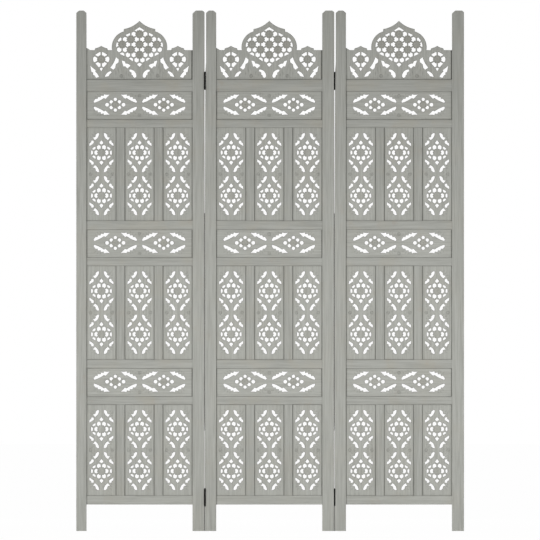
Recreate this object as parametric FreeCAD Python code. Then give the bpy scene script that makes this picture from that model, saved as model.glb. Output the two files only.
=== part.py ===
import FreeCAD, Part
import os
from math import cos, pi, sin

# Three-wing folding room divider in millimetres.
# The wings stand flat in one plane: X along the screen, Y from its front to its back, Z up from the floor.

Vector = FreeCAD.Vector

# Wings, and the gap between two of them: closest at the legs, wider beside the upper hinge, widest on top
WINGS = ("left_wing", "centre_wing", "right_wing")
LEG_GAP = 0.3
CLOSE_GAP = 1.0
CLOSE_GAP_DROP = 387.3
HINGE_GAP = 2.5
HINGE_GAP_REACH = 30.0
TOP_GAP = 4.9
TOP_GAP_RISE = 29.0

# Chamfers of the post tops: how far along the top, how far down the side
LEFT_POST_CHAMFER = (9.0, 7.3)
INNER_CHAMFER = (10.3, 9.1)
OUTER_CHAMFER = (6.3, 5.1)

# Posts and rails
LEFT_POST_WIDTH = 32.2
RIGHT_POST_WIDTH = 38.0
POST_DEPTH = 25.0
POST_RISE = 218.7
LEG_HEIGHT = 84.0
RAIL_DEPTH = 22.0
SILL_RAIL_HEIGHT = 28.0
BAND_RAIL_HEIGHT = 25.2
CREST_RAIL_HEIGHT = 37.5
MULLION_WIDTH = 26.2

# Openings of the frame, as seen between its members
TIERS = ("lower", "middle", "upper")
PANELS_ACROSS = 3
PANEL_SIGHT_WIDTH = 94.6
PANEL_SIGHT_HEIGHTS = {"lower": 289.0, "middle": 297.5, "upper": 295.5}
BAND_SIGHT_HEIGHT = 89.4
CREST_RISE = 186.1
CREST_CORNER_RUN = 12.0
CREST_CORNER_RISE = 7.5

# Joinery
BOARD_THICKNESS = 9.0
BOARD_SIDE_PLAY = 0.3
BOARD_END_PLAY = 0.3
GROOVE_DEPTH = 6.0
TENON_LENGTH = 20.0
MORTISE_END_PLAY = 0.5

# Fretwork
RIB_WIDTH = 4.6
ROSETTE_PETALS = 12
MEDALLION_ROSETTE = 13.7
BAND_ROSETTE = 12.0
CREST_ROSETTE = 13.6
PETAL_SHARE = 0.2
SMALLEST_HOLE = 22.0
LATTICE_ROWS = 4
LATTICE_COLUMNS = 9
PANEL_MEDALLIONS = 2
PANEL_END_MARGIN = 11.4
BAND_LOZENGES = 2
BAND_END_MARGIN = 14.5
BAND_LIFT = 2.5

# Hinges
HINGE_HEIGHT = 55.0
HINGE_KNUCKLES = 5
KNUCKLE_RADIUS = 2.9
KNUCKLE_PLAY = 0.2
LOWER_HINGE_RISE = 23.0
UPPER_HINGE_DROP = 4.0
LEAF_THICKNESS = 2.2
LEAF_PLAY = 0.4
LEAF_GAP = 0.6
LEAF_SINK = 1.25
BED_PLAY = 0.1
PIN_RADIUS = 1.5
PIN_PLAY = 0.05
PIN_HEAD_RADIUS = 2.3
PIN_HEAD_HEIGHT = 1.3
SCREW_PITCH = 18.0
SCREW_SETBACK = 8.0
SCREW_STAGGER = 9.0
SCREW_HEAD_RADIUS = 2.8
SCREW_RADIUS = 1.4
SCREW_BITE = 8.0
SCREW_POINT = 3.0
SCREW_PLAY = 0.05
SLOT_WIDTH = 0.8
SLOT_DEPTH = 0.6

# Sizes that follow
SIGHT_WIDTH = PANELS_ACROSS * PANEL_SIGHT_WIDTH + (PANELS_ACROSS - 1) * MULLION_WIDTH
WING_WIDTH = LEFT_POST_WIDTH + SIGHT_WIDTH + RIGHT_POST_WIDTH
WING_PITCH = WING_WIDTH + TOP_GAP
OPENING_SHIFT = (LEFT_POST_WIDTH - RIGHT_POST_WIDTH) / 2
TIER_FRAME = SILL_RAIL_HEIGHT + BAND_RAIL_HEIGHT + BAND_SIGHT_HEIGHT
CREST_RAIL_FOOT = LEG_HEIGHT + len(TIERS) * TIER_FRAME + sum(PANEL_SIGHT_HEIGHTS.values())
CREST_FOOT = CREST_RAIL_FOOT + CREST_RAIL_HEIGHT
WING_HEIGHT = CREST_FOOT + POST_RISE
GROOVE_WIDTH = BOARD_THICKNESS + 2 * BOARD_SIDE_PLAY
BOARD_TONGUE = GROOVE_DEPTH - BOARD_END_PLAY
LEAF_WIDTH = POST_DEPTH
LEAF_BACK = LEAF_GAP / 2 + LEAF_THICKNESS
HINGE_AXIS = POST_DEPTH / 2 + KNUCKLE_RADIUS + LEAF_PLAY
HINGE_SETOFF = HINGE_GAP + LEAF_SINK - LEAF_BACK
HINGE_HEIGHTS = (LEG_HEIGHT + LOWER_HINGE_RISE, CREST_FOOT - UPPER_HINGE_DROP)

# Ornament drawings: points in millimetres about the motif's own centre, on a drawn half field.
# An outline is its first point and then steps: one point ends a line, two points carry an arc.
# Leaves are drawn in one quarter or half and mirrored; contours are drawn down their right half.
MEDALLION_FIELD = (47.4, 68.0)
MEDALLION_CONTOUR = (
    (0.0, 39.2),
    [
        [(9.0, 28.6), (17.8, 19.6)],
        [(29.4, 12.0), (33.2, 0.0)],
        [(29.4, -12.0), (17.8, -19.6)],
        [(9.0, -28.6), (0.0, -39.2)],
    ],
)
MEDALLION_CELL = (16.4, 16.6)
MEDALLION_LEAVES = (
    (
        (7.4, 61.4),
        [
            [(10.4, 49.6), (20.9, 39.4)],
            [(27.6, 48.6)],
            [(22.0, 48.4), (18.4, 51.6)],
            [(18.6, 56.0)],
            [(12.6, 61.6)],
            [(7.4, 61.4)],
        ],
    ),
    (
        (24.3, 30.4),
        [
            [(31.4, 25.0), (38.4, 20.8)],
            [(37.8, 30.0)],
            [(33.2, 32.0)],
            [(31.2, 38.6)],
            [(24.6, 37.2)],
            [(24.3, 30.4)],
        ],
    ),
)

BAND_FIELD = (76.5, 44.5)
BAND_DOTS = (((26.0, 0.0), 6.0), ((0.0, 17.0), 5.3), ((12.8, 8.9), 5.5))
BAND_LEAF = (
    (66.6, 6.0),
    [
        [(50.9, 12.0), (36.3, 21.0)],
        [(30.4, 18.7)],
        [(17.4, 32.4)],
        [(28.2, 31.4), (35.5, 32.8)],
        [(36.8, 27.6)],
        [(45.4, 29.0)],
        [(46.2, 23.5)],
        [(54.9, 23.9)],
        [(56.0, 18.2)],
        [(62.7, 18.6)],
        [(68.6, 10.2)],
        [(66.6, 6.0)],
    ],
)

CREST_FIELD = (167.6, 185.0)
SHOULDER_RISE = 92.8
CREST_SHOULDER = (145.0, SHOULDER_RISE)
CREST_PROFILE = (
    (0.0, 185.0),
    [
        [(20.5, 169.3), (49.5, 159.3)],
        [(50.2, 151.6)],
        [(77.5, 132.6), (86.8, SHOULDER_RISE)],
        [(100.0, SHOULDER_RISE)],
        [(102.0, 98.6)],
        [(112.0, 101.4), (121.0, 106.2)],
        [(130.0, 101.4), (140.0, 98.6)],
        [(142.0, SHOULDER_RISE)],
        [CREST_SHOULDER],
    ],
)
DOME_CONTOUR = (
    (0.0, 165.2),
    [
        [(22.0, 151.6), (44.0, 140.6)],
        [(66.8, 126.2), (74.0, 108.5)],
        [(71.4, 92.6), (63.0, 81.0)],
        [(32.0, 64.8), (0.0, 40.0)],
    ],
)
DOME_CENTRE = (0.0, 110.5)
CREST_CELL = (18.3, 16.3)
DOME_ROSETTES = ((0, 0), (0, 2), (0, -2), (3, 1), (3, -1), (-3, 1), (-3, -1), (6, 0), (-6, 0))
SIDE_CENTRE = (121.0, 63.8)
SIDE_CELL = (20.6, 17.6)
SIDE_CONTOUR = (
    (0.0, 24.4),
    [[(10.4, 20.0), (19.2, 14.0)], [(25.8, 0.4), (18.6, -13.6)], [(9.2, -23.8), (0.0, -37.8)]],
)
CREST_LEAVES = (
    (
        (74.6, 70.6),
        [
            [(65.6, 63.4)],
            [(66.4, 54.3)],
            [(74.8, 48.2)],
            [(76.8, 37.3)],
            [(82.6, 31.0)],
            [(92.6, 37.5)],
            [(82.6, 51.4), (74.6, 70.6)],
        ],
    ),
    (
        (56.6, 60.2),
        [
            [(47.4, 58.0)],
            [(44.0, 50.6)],
            [(36.8, 49.6), (28.4, 43.6)],
            [(38.2, 34.8)],
            [(45.2, 42.0)],
            [(50.6, 40.6)],
            [(56.6, 60.2)],
        ],
    ),
    (
        (31.4, 31.8),
        [
            [(15.6, 25.4), (10.0, 9.6)],
            [(14.4, 4.8)],
            [(19.4, 7.4)],
            [(21.4, 13.4)],
            [(25.6, 16.0)],
            [(24.8, 21.4)],
            [(32.6, 26.6)],
            [(31.4, 31.8)],
        ],
    ),
    (
        (109.6, 8.4),
        [[(100.6, 22.4), (90.6, 26.8)], [(88.4, 22.0)], [(94.6, 16.8)], [(97.4, 10.8)], [(109.6, 8.4)]],
    ),
    (
        (155.6, 43.8),
        [
            [(147.0, 36.0), (138.3, 29.9)],
            [(140.6, 25.3)],
            [(133.0, 17.6), (127.9, 8.4)],
            [(137.5, 5.3)],
            [(142.1, 13.0)],
            [(147.1, 15.3)],
            [(146.7, 22.2)],
            [(152.1, 24.5)],
            [(155.6, 43.8)],
        ],
    ),
)


class Field:
    """A drawing stretched from its drawn half field onto a place on a board."""

    def __init__(self, centre, stretch):
        self.centre = centre
        self.stretch = stretch

    def at(self, point):
        return Vector(
            self.centre[0] + point[0] * self.stretch[0],
            0,
            self.centre[1] + point[1] * self.stretch[1],
        )

    def flipped(self, across, upward):
        return Field(self.centre, (self.stretch[0] * across, self.stretch[1] * upward))

    def moved(self, point):
        place = self.at(point)
        return Field((place.x, place.z), self.stretch)


def block(x_span, depth, z_span):
    """A box between two x and two z, centred on the screen's mid-plane."""
    return Part.makeBox(
        x_span[1] - x_span[0],
        depth,
        z_span[1] - z_span[0],
        Vector(x_span[0], -depth / 2, z_span[0]),
    )


def moved(shape, x, y, z):
    copy = shape.copy()
    copy.translate(Vector(x, y, z))
    return copy


def edges_along(field, outline):
    """The lines and arcs of an outline, from its first point on."""
    start, steps = outline
    here = field.at(start)
    edges = []
    for step in steps:
        points = [field.at(point) for point in step]
        if len(points) == 2:
            edges.append(Part.Arc(here, points[0], points[1]).toShape())
        else:
            edges.append(Part.LineSegment(here, points[0]).toShape())
        here = points[-1]
    return edges


def face_of(edges):
    return Part.Face(Part.Wire(Part.__sortEdges__(edges)))


def mirrored_face(field, half_outline):
    """A face whose right half is drawn, its left half mirrored."""
    return face_of(edges_along(field, half_outline) + edges_along(field.flipped(-1, 1), half_outline))


def rosette(centre, tip_radius):
    """A round of petals: one arc for each petal, from valley to valley over its tip."""
    step = 2 * pi / ROSETTE_PETALS

    def at(turn, radius):
        return centre + Vector(radius * cos(turn * step), 0, radius * sin(turn * step))

    valley_radius = tip_radius * (1 - PETAL_SHARE)
    petals = [
        Part.Arc(at(k - 0.5, valley_radius), at(k, tip_radius), at(k + 0.5, valley_radius)).toShape()
        for k in range(ROSETTE_PETALS)
    ]
    return face_of(petals)


def cell_face(field, cell, across, reach):
    """A pointed six-sided cell less half a rib all round; reach draws its two halves apart."""
    shrink = 1 - RIB_WIDTH / cell[0]
    half = shrink * cell[0] / 2
    point = shrink * cell[1] * 2 / 3
    side = shrink * cell[1] / 3
    part = reach * cell[0] / 2
    right = [(part, point), (part + half, side), (part + half, -side), (part, -point)]
    left = [(-x, z) for x, z in reversed(right)]
    corners = [field.at((x + across[0], z + across[1])) for x, z in dict.fromkeys(right + left)]
    return Part.Face(Part.makePolygon(corners + corners[:1]))


def lattice_holes(field, contour, cell, size, rosettes, joined=()):
    """Cells of a honeycomb within a contour, bitten by the rosettes that stand in some of its cells."""

    def centre(column, row):
        return (column * cell[0] / 2, row * cell[1])

    limit = mirrored_face(*contour)
    flowers = [rosette(field.at(centre(*place)), size) for place in rosettes]
    places = [(place, 1) for place in joined]
    filled = set(rosettes)
    for column, row in joined:
        filled |= {(column - 1, row), (column + 1, row)}
    for row in range(-LATTICE_ROWS, LATTICE_ROWS + 1):
        for column in range(-LATTICE_COLUMNS, LATTICE_COLUMNS + 1):
            if (column + row) % 2 == 0 and (column, row) not in filled:
                places.append(((column, row), 0))
    holes = []
    for place, reach in places:
        opening = cell_face(field, cell, centre(*place), reach).common(limit)
        if opening.Area > SMALLEST_HOLE:
            holes += [face for face in opening.cut(flowers).Faces if face.Area > SMALLEST_HOLE]
    return holes


def mirrored_leaves(field, leaves, upward):
    """Each drawn leaf with its mirror images, left and right and, for two upward signs, up and down."""
    return [
        face_of(edges_along(field.flipped(across, sign), leaf))
        for leaf in leaves
        for across in (1, -1)
        for sign in upward
    ]


def fretted_board(outline_face, holes):
    """A board of the outline, cut through by the holes, centred on the screen's mid-plane."""
    wires = [outline_face.OuterWire] + [hole.OuterWire for hole in holes]
    board = Part.makeFace(wires, "Part::FaceMakerBullseye").extrude(Vector(0, BOARD_THICKNESS, 0))
    return moved(board, 0, -BOARD_THICKNESS / 2, 0)


def plain_board(width, height):
    x = width / 2 + BOARD_TONGUE
    z = height / 2 + BOARD_TONGUE
    corners = [Vector(-x, 0, -z), Vector(x, 0, -z), Vector(x, 0, z), Vector(-x, 0, z)]
    return Part.Face(Part.makePolygon(corners + corners[:1]))


def panel(sight_height):
    """An upright fretted board about its own centre, with its medallions one above another."""
    half_width = PANEL_SIGHT_WIDTH / 2
    half_height = (sight_height / 2 - PANEL_END_MARGIN) / PANEL_MEDALLIONS
    stretch = (half_width / MEDALLION_FIELD[0], half_height / MEDALLION_FIELD[1])
    holes = []
    for index in range(PANEL_MEDALLIONS):
        field = Field((0, half_height * (2 * index - PANEL_MEDALLIONS + 1)), stretch)
        contour = (field, MEDALLION_CONTOUR)
        holes += lattice_holes(field, contour, MEDALLION_CELL, MEDALLION_ROSETTE, ((0, 0),))
        holes += mirrored_leaves(field, MEDALLION_LEAVES, (1, -1))
    return fretted_board(plain_board(PANEL_SIGHT_WIDTH, sight_height), holes)


def band():
    """A level fretted board about its own centre, with its lozenges side by side a little above it."""
    half_length = (SIGHT_WIDTH / 2 - BAND_END_MARGIN) / BAND_LOZENGES
    stretch = (half_length / BAND_FIELD[0], BAND_SIGHT_HEIGHT / 2 / BAND_FIELD[1])
    holes = []
    for index in range(BAND_LOZENGES):
        field = Field((half_length * (2 * index - BAND_LOZENGES + 1), BAND_LIFT), stretch)
        flower = rosette(field.at((0, 0)), BAND_ROSETTE)
        places = {
            (across * point[0], upward * point[1]): radius
            for point, radius in BAND_DOTS
            for across in (1, -1)
            for upward in (1, -1)
        }
        for point, radius in places.items():
            ring = Part.Circle(field.at(point), Vector(0, 1, 0), radius).toShape()
            holes += face_of([ring]).cut(flower).Faces
        holes += mirrored_leaves(field, (BAND_LEAF,), (1, -1))
    return fretted_board(plain_board(SIGHT_WIDTH, BAND_SIGHT_HEIGHT), holes)


def crest_field():
    return Field((0, CREST_FOOT), (SIGHT_WIDTH / 2 / CREST_FIELD[0], CREST_RISE / CREST_FIELD[1]))


def crest_shoulder():
    return crest_field().at(CREST_SHOULDER).z


def crest_outline():
    """The domed outline with its tongues; its left end climbs a little to the post."""
    field = crest_field()
    foot = CREST_FOOT - BOARD_TONGUE
    end = SIGHT_WIDTH / 2 + BOARD_TONGUE
    shoulder = crest_shoulder()
    edges = edges_along(field, CREST_PROFILE) + edges_along(field.flipped(-1, 1), CREST_PROFILE)
    corner_top = shoulder + CREST_CORNER_RISE
    corners = [
        field.at(CREST_SHOULDER),
        Vector(end, 0, shoulder),
        Vector(end, 0, foot),
        Vector(-end, 0, foot),
        Vector(-end, 0, corner_top),
        Vector(-SIGHT_WIDTH / 2, 0, corner_top),
        Vector(-SIGHT_WIDTH / 2 + CREST_CORNER_RUN, 0, shoulder),
        field.flipped(-1, 1).at(CREST_SHOULDER),
    ]
    edges += Part.makePolygon(corners).Edges
    return face_of(edges)


def crest_board():
    field = crest_field()
    dome = field.moved(DOME_CENTRE)
    holes = lattice_holes(dome, (field, DOME_CONTOUR), CREST_CELL, CREST_ROSETTE, DOME_ROSETTES, ((0, 3),))
    for across in (1, -1):
        side = field.flipped(across, 1).moved(SIDE_CENTRE)
        holes += lattice_holes(side, (side, SIDE_CONTOUR), SIDE_CELL, CREST_ROSETTE, ((0, 0),))
    holes += mirrored_leaves(field, CREST_LEAVES, (1,))
    return fretted_board(crest_outline(), holes)


def tier_foot(tier):
    """Height of the underside of a tier's sill rail."""
    below = TIERS[: TIERS.index(tier)]
    return LEG_HEIGHT + sum(TIER_FRAME + PANEL_SIGHT_HEIGHTS[name] for name in below)


def rails():
    """Name, foot and height of each rail, from the floor up."""
    spans = []
    for tier in TIERS:
        foot = tier_foot(tier)
        band_rail = foot + SILL_RAIL_HEIGHT + PANEL_SIGHT_HEIGHTS[tier]
        spans.append((f"{tier}_sill_rail", foot, SILL_RAIL_HEIGHT))
        spans.append((f"{tier}_band_rail", band_rail, BAND_RAIL_HEIGHT))
    spans.append(("crest_rail", CREST_RAIL_FOOT, CREST_RAIL_HEIGHT))
    return spans


def tenon_span(foot, height):
    return (foot + GROOVE_DEPTH, foot + height - GROOVE_DEPTH)


def rail(foot, height):
    """A rail with a tenon at each end, grooved above and, except over the legs, below."""
    half = SIGHT_WIDTH / 2
    body = block((-half, half), RAIL_DEPTH, (foot, foot + height))
    tenons = block((-half - TENON_LENGTH, half + TENON_LENGTH), GROOVE_WIDTH, tenon_span(foot, height))
    grooves = [block((-half, half), GROOVE_WIDTH, (foot + height - GROOVE_DEPTH, foot + height))]
    if foot > LEG_HEIGHT:
        grooves.append(block((-half, half), GROOVE_WIDTH, (foot, foot + GROOVE_DEPTH)))
    return body.fuse(tenons).cut(grooves).removeSplitter()


def post_edge(outer, meets):
    """Outer edge of a post from its foot up; one that meets another wing stands out into the gap below."""
    if not meets:
        return [(outer, 0)]
    leg = outer + TOP_GAP - LEG_GAP
    close = outer + TOP_GAP - CLOSE_GAP
    beside_hinge = outer + TOP_GAP - HINGE_GAP
    under_hinge = HINGE_HEIGHTS[-1] - HINGE_GAP_REACH
    over_hinge = HINGE_HEIGHTS[-1] + HINGE_GAP_REACH
    return [
        (leg, 0),
        (leg, HINGE_HEIGHTS[0]),
        (close, HINGE_HEIGHTS[0]),
        (close, under_hinge - CLOSE_GAP_DROP),
        (beside_hinge, under_hinge),
        (beside_hinge, over_hinge),
        (outer, over_hinge + TOP_GAP_RISE),
    ]


def post(side, meets):
    """A post at the left (-1) or right (1) end, chamfered on top, grooved and mortised inside."""
    inner = SIGHT_WIDTH / 2
    if side < 0:
        width, inner_chamfer, outer_chamfer = LEFT_POST_WIDTH, LEFT_POST_CHAMFER, LEFT_POST_CHAMFER
    else:
        width, inner_chamfer, outer_chamfer = RIGHT_POST_WIDTH, INNER_CHAMFER, OUTER_CHAMFER
    outer = inner + width
    outline = [
        (inner, 0),
        *post_edge(outer, meets),
        (outer, WING_HEIGHT - outer_chamfer[1]),
        (outer - outer_chamfer[0], WING_HEIGHT),
        (inner + inner_chamfer[0], WING_HEIGHT),
        (inner, WING_HEIGHT - inner_chamfer[1]),
    ]
    corners = [Vector(side * x, -POST_DEPTH / 2, z) for x, z in outline]
    body = Part.Face(Part.makePolygon(corners + corners[:1])).extrude(Vector(0, POST_DEPTH, 0))

    def recess(depth, z_span):
        ends = sorted((side * inner, side * (inner + depth)))
        return block(ends, GROOVE_WIDTH, z_span)

    groove_top = crest_shoulder() + BOARD_END_PLAY
    if side < 0:
        groove_top += CREST_CORNER_RISE
    groove_foot = tenon_span(LEG_HEIGHT, SILL_RAIL_HEIGHT)[0]
    recesses = [recess(GROOVE_DEPTH, (groove_foot, groove_top))]
    for _, foot, height in rails():
        recesses.append(recess(TENON_LENGTH + MORTISE_END_PLAY, tenon_span(foot, height)))
    return body.cut(recesses).removeSplitter()


def mullion(sight_height):
    """An upright bar about its own centre, grooved on both sides, with a stub tenon at each end."""
    half_width = MULLION_WIDTH / 2
    half_height = sight_height / 2
    core = half_width - GROOVE_DEPTH
    body = block((-half_width, half_width), RAIL_DEPTH, (-half_height, half_height))
    stub = half_height + BOARD_TONGUE
    tenons = block((-core, core), GROOVE_WIDTH, (-stub, stub))
    grooves = [
        block((-half_width, -core), GROOVE_WIDTH, (-half_height, half_height)),
        block((core, half_width), GROOVE_WIDTH, (-half_height, half_height)),
    ]
    return body.fuse(tenons).cut(grooves).removeSplitter()


# A hinge is drawn about its own axis, standing in front of the joint; side -1 is its left leaf.


def screw_places():
    """Depth behind the hinge axis and height of each screw of a leaf."""
    face = HINGE_AXIS - POST_DEPTH / 2
    return [
        (face + SCREW_SETBACK, -SCREW_PITCH),
        (face + SCREW_SETBACK + SCREW_STAGGER, 0),
        (face + SCREW_SETBACK, SCREW_PITCH),
    ]


def screw_shape(side, place, play, bite):
    """A countersunk head through the leaf and a pointed shank into the post, or the holes for them."""
    into = Vector(side, 0, 0)
    top = Vector(side * LEAF_GAP / 2, place[0], place[1])
    root = Vector(side * LEAF_BACK, place[0], place[1])
    head = Part.makeCone(SCREW_HEAD_RADIUS + play, SCREW_RADIUS + play, LEAF_THICKNESS, top, into)
    shank = Part.makeCylinder(SCREW_RADIUS + play, bite - SCREW_POINT, root, into)
    start = root + into * (bite - SCREW_POINT)
    point = Part.makeCone(SCREW_RADIUS + play, play, SCREW_POINT, start, into)
    return head.fuse([shank, point]).removeSplitter()


def screw(side, place):
    slot = Part.makeBox(
        SLOT_DEPTH,
        2 * SCREW_HEAD_RADIUS,
        SLOT_WIDTH,
        Vector(0, place[0] - SCREW_HEAD_RADIUS, place[1] - SLOT_WIDTH / 2),
    )
    top = side * LEAF_GAP / 2
    slot = moved(slot, top if side > 0 else top - SLOT_DEPTH, 0, 0)
    return screw_shape(side, place, 0, SCREW_BITE).cut(slot)


def screw_hole(side, place):
    return screw_shape(side, place, SCREW_PLAY, SCREW_BITE + MORTISE_END_PLAY)


def hinge_leaf(side):
    """A leaf on one post: the left leaf carries the outer and middle knuckles, the right leaf the others."""
    pitch = HINGE_HEIGHT / HINGE_KNUCKLES
    foot = -HINGE_HEIGHT / 2
    plate_x = min(side * LEAF_GAP / 2, side * LEAF_BACK)
    face = HINGE_AXIS - POST_DEPTH / 2
    leaf = Part.makeBox(LEAF_THICKNESS, LEAF_WIDTH, HINGE_HEIGHT, Vector(plate_x, face, foot))
    for index in range(0 if side < 0 else 1, HINGE_KNUCKLES, 2):
        start = foot + index * pitch + KNUCKLE_PLAY / 2
        length = pitch - KNUCKLE_PLAY
        leaf = leaf.fuse(
            [
                Part.makeBox(LEAF_THICKNESS, face, length, Vector(plate_x, 0, start)),
                Part.makeCylinder(KNUCKLE_RADIUS, length, Vector(0, 0, start)),
            ]
        )
    bore = Part.makeCylinder(PIN_RADIUS + PIN_PLAY, HINGE_HEIGHT, Vector(0, 0, foot))
    return leaf.cut([bore] + [screw_hole(side, place) for place in screw_places()]).removeSplitter()


def leaf_bed(side):
    """The shallow bed in a post's edge that a leaf is let into."""
    back = HINGE_AXIS - POST_DEPTH / 2 + LEAF_WIDTH + BED_PLAY
    half = HINGE_HEIGHT / 2 + BED_PLAY
    near, far = sorted((-side * LEAF_BACK, side * (LEAF_BACK + BED_PLAY)))
    return Part.makeBox(far - near, back, 2 * half, Vector(near, 0, -half))


def hinge_pin():
    half = HINGE_HEIGHT / 2
    pin = Part.makeCylinder(PIN_RADIUS, HINGE_HEIGHT, Vector(0, 0, -half))
    heads = []
    for end in (-1, 1):
        seat = Vector(0, 0, end * half)
        outward = Vector(0, 0, end)
        heads.append(Part.makeCone(PIN_HEAD_RADIUS, PIN_RADIUS, PIN_HEAD_HEIGHT, seat, outward))
    return pin.fuse(heads).removeSplitter()


def at_joint(shape, joint):
    """Copies of a hinge shape at both heights of a joint; at the back it is turned half round."""
    left_edge = WING_WIDTH / 2 - (WING_PITCH if joint < 0 else 0)
    copies = []
    for height in HINGE_HEIGHTS:
        copy = shape.copy()
        if joint > 0:
            copy.rotate(Vector(), Vector(0, 0, 1), 180)
        copies.append(moved(copy, left_edge + HINGE_SETOFF, joint * HINGE_AXIS, height))
    return copies


def wing_pieces():
    """Named pieces that are the same in every wing, about the middle of its openings."""
    pieces = {"right_post": [post(1, False)], "crest_board": [crest_board()], "mullions": []}
    for name, foot, height in rails():
        pieces[name] = [rail(foot, height)]
    level = band()
    panel_pitch = PANEL_SIGHT_WIDTH + MULLION_WIDTH
    offsets = [panel_pitch * (k - (PANELS_ACROSS - 1) / 2) for k in range(PANELS_ACROSS)]
    for tier in TIERS:
        sight_height = PANEL_SIGHT_HEIGHTS[tier]
        upright = panel(sight_height)
        bar = mullion(sight_height)
        sill = tier_foot(tier) + SILL_RAIL_HEIGHT
        middle = sill + sight_height / 2
        band_middle = sill + sight_height + BAND_RAIL_HEIGHT + BAND_SIGHT_HEIGHT / 2
        pieces[f"{tier}_panels"] = [moved(upright, x, 0, middle) for x in offsets]
        pieces[f"{tier}_band"] = [moved(level, 0, 0, band_middle)]
        pieces["mullions"] += [moved(bar, x + panel_pitch / 2, 0, middle) for x in offsets[:-1]]
    return pieces


def hinge_nodes():
    """Named hinge pieces: front joint between left and centre wing, back joint between centre and right."""
    front, back = -1, 1
    leaves = {side: hinge_leaf(side) for side in (-1, 1)}
    screws = {side: [screw(side, place) for place in screw_places()] for side in (-1, 1)}

    def screws_at(side, joint):
        return [copy for shape in screws[side] for copy in at_joint(shape, joint)]

    return {
        "left_wing_hinge_leaves": at_joint(leaves[-1], front),
        "centre_wing_front_hinge_leaves": at_joint(leaves[1], front),
        "centre_wing_back_hinge_leaves": at_joint(leaves[1], back),
        "right_wing_hinge_leaves": at_joint(leaves[-1], back),
        "front_hinge_pins": at_joint(hinge_pin(), front),
        "back_hinge_pins": at_joint(hinge_pin(), back),
        "left_wing_hinge_screws": screws_at(-1, front),
        "centre_wing_hinge_screws": screws_at(1, front) + screws_at(1, back),
        "right_wing_hinge_screws": screws_at(-1, back),
    }


def fit_hinges(nodes):
    """Beds for the hinge leaves and pilot holes for their screws, in the posts that meet at the two joints."""
    meetings = (
        ("left_wing_right_post", -1, -1),
        ("centre_wing_left_post", 1, -1),
        ("centre_wing_right_post", 1, 1),
        ("right_wing_left_post", -1, 1),
    )
    for name, side, joint in meetings:
        cuts = at_joint(leaf_bed(side), joint)
        for place in screw_places():
            cuts += at_joint(screw_hole(side, place), joint)
        nodes[name] = [solid.cut(cuts).removeSplitter() for solid in nodes[name]]


def main():
    pieces = wing_pieces()
    nodes = {}
    for index, wing in enumerate(WINGS):
        middle_x = (index - 1) * WING_PITCH + OPENING_SHIFT
        pieces["left_post"] = [post(-1, index > 0)]
        for name, solids in pieces.items():
            nodes[f"{wing}_{name}"] = [moved(solid, middle_x, 0, 0) for solid in solids]
    fit_hinges(nodes)
    nodes.update(hinge_nodes())
    os.makedirs("parts", exist_ok=True)
    for name, solids in nodes.items():
        shape = solids[0] if len(solids) == 1 else Part.makeCompound(solids)
        shape.exportStep(f"parts/{name}.step")


main()
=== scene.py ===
"""A folding room divider of three fretted wings, dressed round its frame and laid out as an add-on."""

from math import atan2, hypot, pi, radians

import bmesh
import bpy
from mathutils import Matrix, Vector


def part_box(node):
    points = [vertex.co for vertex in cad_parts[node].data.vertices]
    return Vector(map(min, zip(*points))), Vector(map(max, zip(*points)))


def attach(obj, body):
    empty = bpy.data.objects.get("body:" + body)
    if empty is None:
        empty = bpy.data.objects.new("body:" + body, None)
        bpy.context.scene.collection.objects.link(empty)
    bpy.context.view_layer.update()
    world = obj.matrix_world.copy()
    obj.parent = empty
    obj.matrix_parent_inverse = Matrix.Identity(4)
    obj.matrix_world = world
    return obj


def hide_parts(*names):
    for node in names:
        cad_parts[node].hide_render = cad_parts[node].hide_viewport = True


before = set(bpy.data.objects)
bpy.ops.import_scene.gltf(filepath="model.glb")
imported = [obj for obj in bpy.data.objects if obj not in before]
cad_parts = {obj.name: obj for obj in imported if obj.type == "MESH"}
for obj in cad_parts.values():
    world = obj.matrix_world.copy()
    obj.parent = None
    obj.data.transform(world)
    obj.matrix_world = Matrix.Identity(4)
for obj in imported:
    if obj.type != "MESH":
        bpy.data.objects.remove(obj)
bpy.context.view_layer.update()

bl_info = {
    "name": "Fretted room divider",
    "version": (1, 0, 0),
    "blender": (4, 5, 0),
    "location": "3D View > Sidebar > Divider",
    "description": "Dresses the wings, boards and hinges of a folding room divider",
    "category": "Object",
}

MM = 0.001
WINGS = ("left_wing", "centre_wing", "right_wing")
MIDDLE_WING = "centre_wing"
TIERS = ("lower", "middle", "upper")
FACES = (-1, 1)

# Places on the boards, in millimetres from the middle of the board's opening, or from the crest's foot
PANEL_END_MARGIN = 11.4
MEDALLION_ROSETTE = 13.7
LOZENGE_RUN = 76.8
LOZENGE_LIFT = 2.5
BAND_ROSETTE = 12.0
CREST_ROSETTE = 13.6
CREST_ROSETTES = (
    (0.0, 111.2),
    (0.0, 144.0),
    (0.0, 78.4),
    (27.5, 127.6),
    (27.5, 94.8),
    (55.1, 111.2),
    (121.4, 64.2),
)
# Chip-carved strokes, each from its root to its tip in one quarter or half, then mirrored
MEDALLION_STROKES = (
    ((27.6, 40.2), (38.6, 43.4)),
    ((27.2, 46.6), (39.0, 52.2)),
    ((22.6, 53.4), (34.4, 60.6)),
    ((17.6, 58.6), (24.6, 66.0)),
)
BAND_STROKES = (
    ((45.8, 29.6), (50.4, 39.0)),
    ((52.8, 27.0), (58.6, 36.6)),
    ((59.4, 22.4), (67.4, 31.8)),
)
CREST_STROKES = (
    ((62.6, 52.0), (56.4, 24.0)),
    ((68.6, 43.0), (65.2, 15.0)),
    ((75.4, 30.0), (74.2, 8.0)),
    ((41.6, 32.0), (44.8, 12.0)),
    ((34.4, 22.6), (35.2, 7.0)),
)
# Small round flowers: their places on a board
PANEL_FLOWER_RUN = 34.6
BAND_FLOWER_RISE = 31.0
CREST_FLOWERS = ((57.4, 11.6),)
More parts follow.
